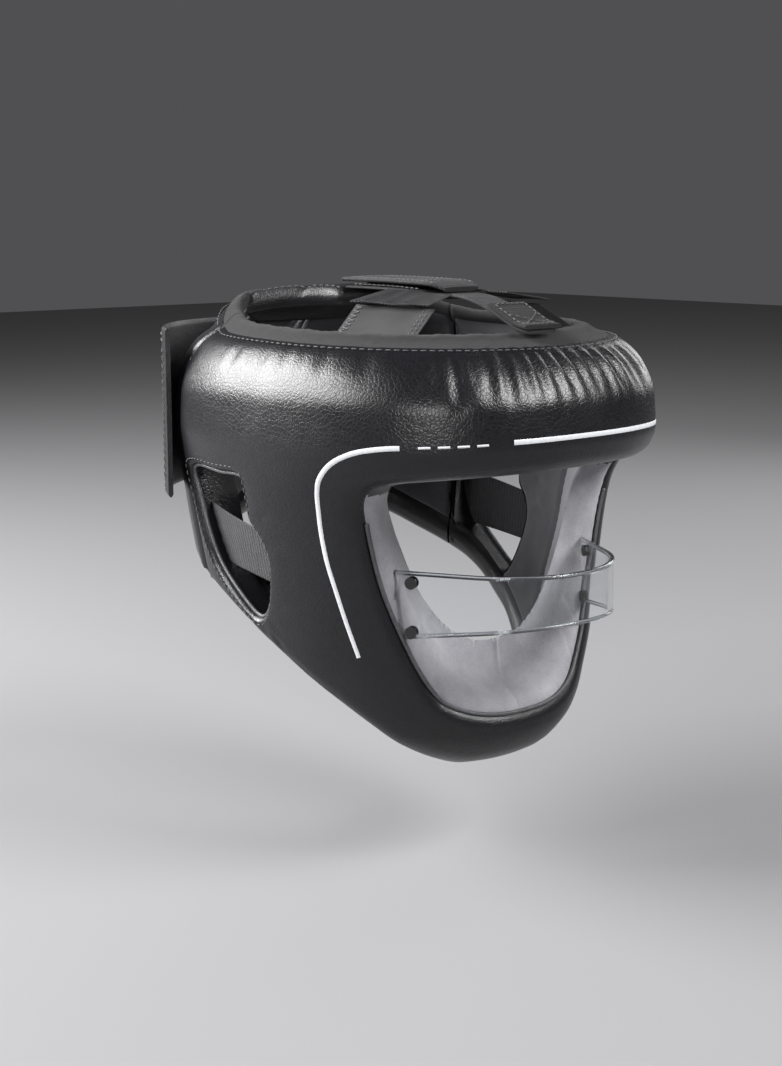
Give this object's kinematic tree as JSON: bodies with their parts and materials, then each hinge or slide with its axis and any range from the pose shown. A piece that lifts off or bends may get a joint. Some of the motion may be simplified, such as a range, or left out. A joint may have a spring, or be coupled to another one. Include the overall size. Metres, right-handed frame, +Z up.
{
  "type": "boxing headgear",
  "caption": "Padded full-face boxing headgear with wrap-around shell, clear nose visor, ear openings, crown straps and rear hook-and-loop closure.",
  "frame": {"origin": "centre of the wearer's head inside the padding", "axes": "+Z up, the wearer faces -Y, +X towards the wearer's left"},
  "size_m": [0.213, 0.2385, 0.2295],
  "materials": {
    "binding_tape": "woven tape",
    "cover_leather": "fine-grained, soft sheen",
    "foam": "closed-cell foam",
    "hook_loop": "hook and loop",
    "liner_fabric": "brushed microfibre",
    "piping": "piped and stitched edge",
    "ring_plastic": "satin",
    "strap_fabric": "woven",
    "stud_metal": "gloss",
    "visor_clear": "clear polycarbonate",
    "webbing": "ribbed webbing"
  },
  "bodies": {
    "shell": {"brow_liner": "liner_fabric", "cheek_foam_left": "foam", "cheek_foam_right": "foam", "cheek_liner_left": "liner_fabric", "cheek_liner_right": "liner_fabric", "chin_foam": "foam", "closure_loop_patch": "hook_loop", "crown_binding_front": "binding_tape", "crown_binding_rear_left": "binding_tape", "crown_binding_rear_right": "binding_tape", "crown_front_anchor": "webbing", "crown_front_strap": "webbing", "crown_loop_patch": "hook_loop", "crown_panel_left": "strap_fabric", "crown_panel_right": "strap_fabric", "crown_rear_yoke": "strap_fabric", "crown_ring": "ring_plastic", "crown_sleeve": "webbing", "crown_web_left": "webbing", "crown_web_right": "webbing", "ear_piping_left": "piping", "ear_piping_right": "piping", "ear_strap_left": "webbing", "ear_strap_right": "webbing", "face_edging": "liner_fabric", "face_piping": "piping", "forehead_foam": "foam", "front_cover": "cover_leather", "lower_binding_front": "binding_tape", "lower_binding_rear_left": "binding_tape", "lower_binding_rear_right": "binding_tape", "rear_cover_left": "cover_leather", "rear_cover_right": "cover_leather", "rear_elastic": "webbing", "rear_foam_left": "foam", "rear_foam_right": "foam", "rear_liner_left": "liner_fabric", "rear_liner_right": "liner_fabric", "side_liner_left": "liner_fabric", "side_liner_right": "liner_fabric", "temple_foam_left": "foam", "temple_foam_right": "foam", "visor": "visor_clear", "visor_studs": "stud_metal"},
    "closure_strap": {"rear_closure_strap": "strap_fabric", "closure_hook_patch": "hook_loop"},
    "crown_tab_body": {"crown_tab": "webbing", "crown_hook_patch": "hook_loop"}
  },
  "joints": [
    {"name": "closure_strap_hinge", "type": "hinge", "parent": "shell", "child": "closure_strap", "pos_m": [-0.10063, 0.06046, 0.061], "axis": [0, 0, 1], "range_deg": [0, 100]},
    {"name": "crown_tab_hinge", "type": "hinge", "parent": "shell", "child": "crown_tab_body", "pos_m": [0, -0.037, 0.1209], "axis": [1, 0, 0], "range_deg": [0, 140]}
  ]
}
